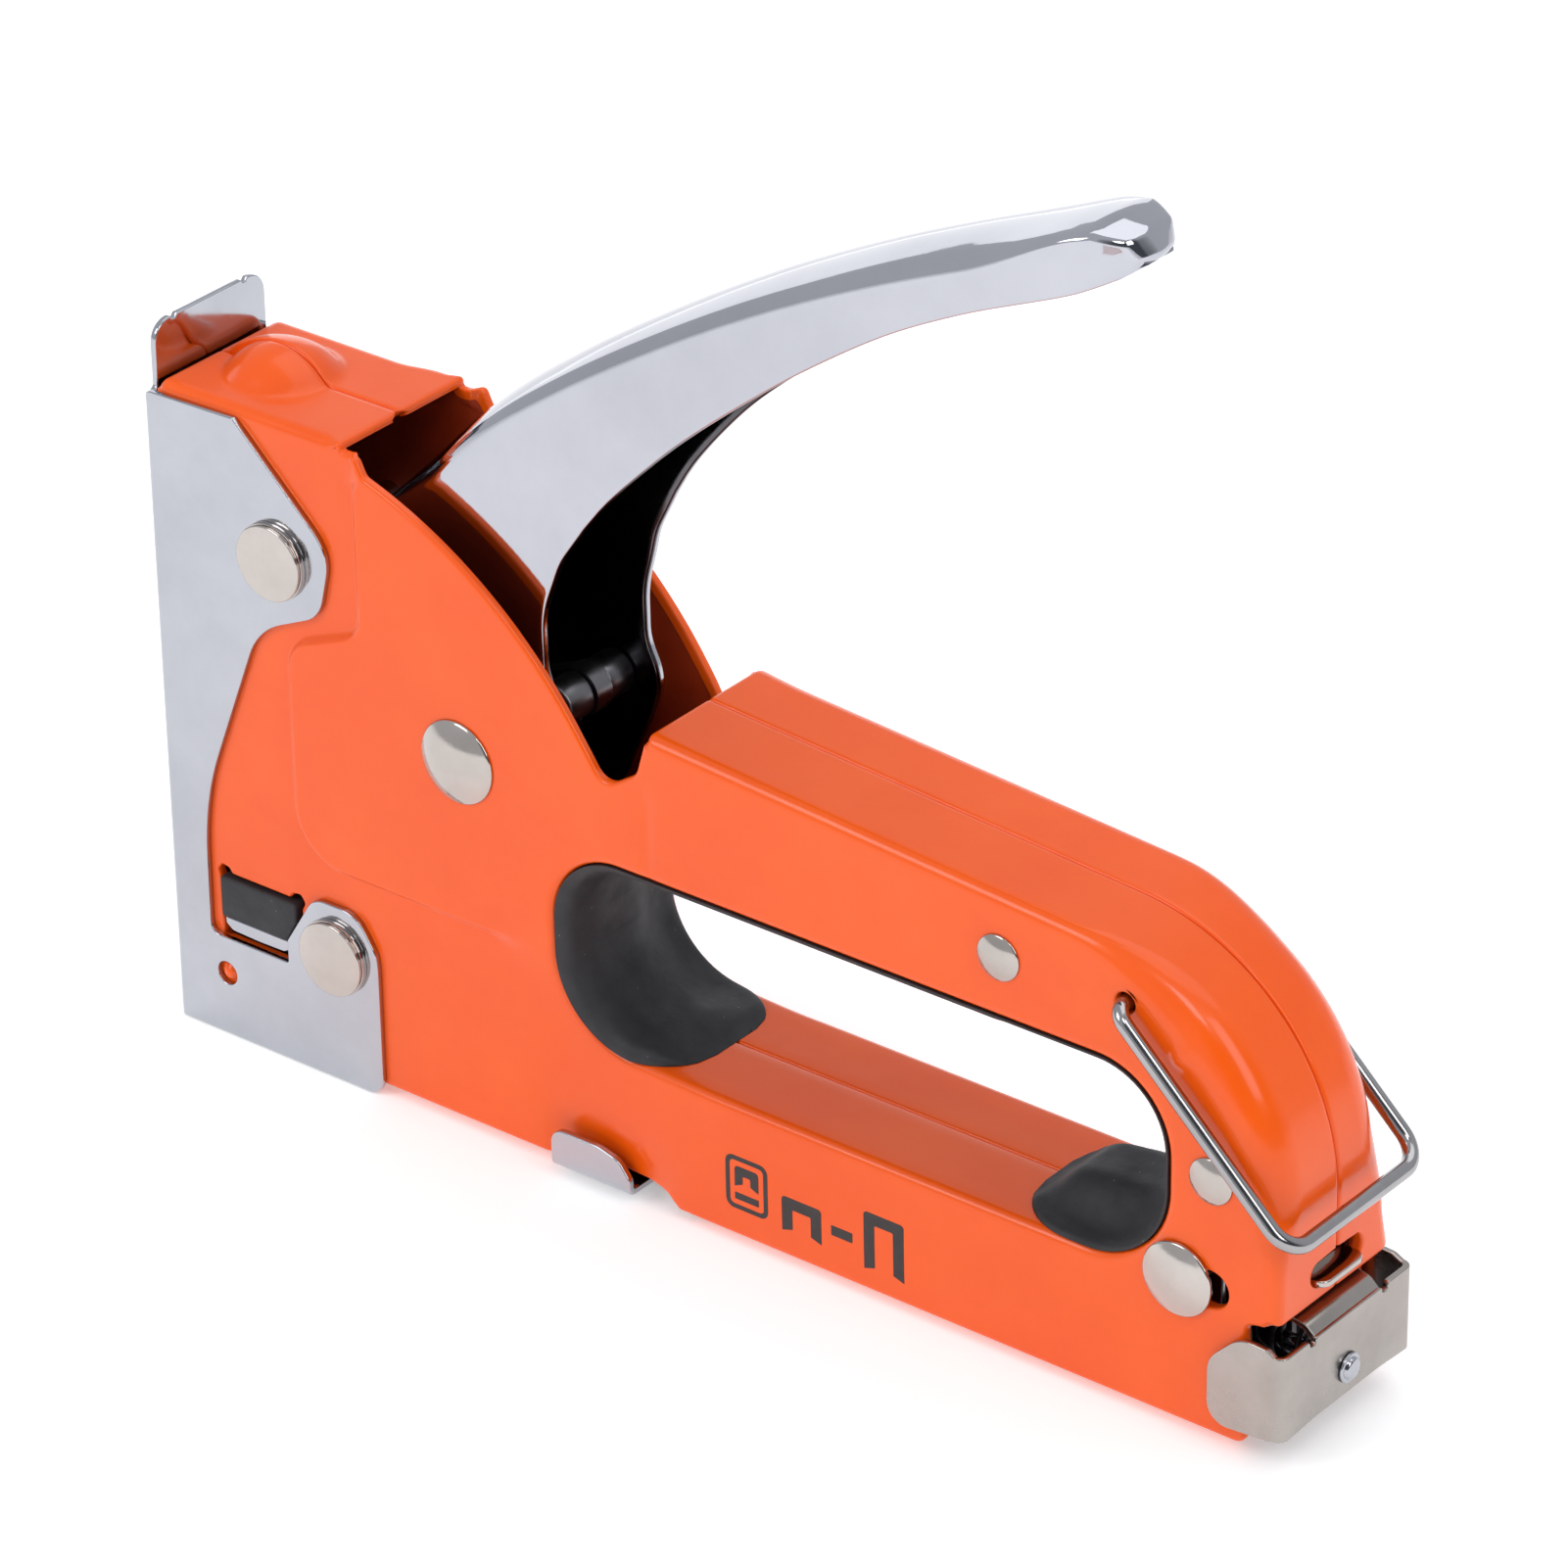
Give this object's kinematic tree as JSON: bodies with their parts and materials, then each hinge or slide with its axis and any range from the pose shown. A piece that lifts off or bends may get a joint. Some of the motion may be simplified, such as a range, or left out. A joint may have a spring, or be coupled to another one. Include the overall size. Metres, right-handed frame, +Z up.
{
  "type": "staple gun",
  "caption": "Hand staple gun: two orange pressed shells, plated nose, chrome squeeze lever, lined finger hole, wire bail and pull-out staple pusher.",
  "frame": {"origin": "middle of the nose plate's front wall at its lower edge, where a staple leaves the nose", "axes": "+X from the nose to the rear, +Z up from the work to the lever, Y across the tool with the seam of the shells at Y = 0"},
  "size_m": [0.1622, 0.0276, 0.136],
  "materials": {
    "orange_enamel": "glossy powder coat",
    "zinc_plate": "bright zinc plate",
    "nickel_plate": "polished nickel plate",
    "chrome_plate": "bright chrome",
    "oiled_steel": "dark oiled steel",
    "black_rubber": "matte rubber"
  },
  "bodies": {
    "body": {"left_shell": "orange_enamel", "right_shell": "orange_enamel", "nose_plate": "zinc_plate", "nose_rivets": "nickel_plate", "pivot_rivet": "nickel_plate", "grip_rivets": "nickel_plate", "spacer_sleeves": "oiled_steel", "lever_spring": "oiled_steel", "main_spring": "zinc_plate", "bumper": "black_rubber", "bumper_plate": "zinc_plate", "latch_spring": "nickel_plate", "grip_liner": "black_rubber"},
    "lever": {"lever": "chrome_plate", "lever_pin": "oiled_steel", "lever_sleeves": "oiled_steel", "lifter": "oiled_steel"},
    "striker": {"striker": "oiled_steel", "driver_blade": "zinc_plate"},
    "magazine": {"magazine_channel": "zinc_plate", "staple_rail": "oiled_steel", "magazine_pin": "nickel_plate"},
    "pusher": {"end_cap": "nickel_plate", "guide_rod": "zinc_plate", "feed_spring": "oiled_steel"},
    "follower": {"follower": "zinc_plate"},
    "bail": {"bail": "chrome_plate"}
  },
  "joints": [
    {"name": "lever_squeeze", "type": "hinge", "parent": "body", "child": "lever", "pos_m": [0.0453, 0, 0.0492], "axis": [0, 1, 0], "range_deg": [0, 38], "stiffness_Nm_per_rad": 0.5, "springref_deg": -22.92, "deforming": ["lever_spring"]},
    {"name": "striker_lift", "type": "slide", "parent": "body", "child": "striker", "axis": [0, 0, 1], "range_m": [0, 0.0156], "stiffness_N_per_m": 600, "springref_m": -0.004, "deforming": ["main_spring"]},
    {"name": "magazine_slide", "type": "slide", "parent": "body", "child": "magazine", "axis": [1, 0, 0], "range_m": [0, 0.004]},
    {"name": "pusher_slide", "type": "slide", "parent": "magazine", "child": "pusher", "axis": [1, 0, 0], "range_m": [0, 0.06]},
    {"name": "follower_travel", "type": "slide", "parent": "pusher", "child": "follower", "axis": [1, 0, 0], "range_m": [0, 0.085], "stiffness_N_per_m": 20, "springref_m": -0.08, "deforming": ["feed_spring"]},
    {"name": "bail_swing", "type": "hinge", "parent": "body", "child": "bail", "pos_m": [0.1379, 0, 0.0508], "axis": [0, 1, 0], "range_deg": [-77, 0]}
  ],
  "couplings": [
    {"joint": "lever_squeeze", "follows": "striker_lift", "rad_per_m": 42.37}
  ]
}
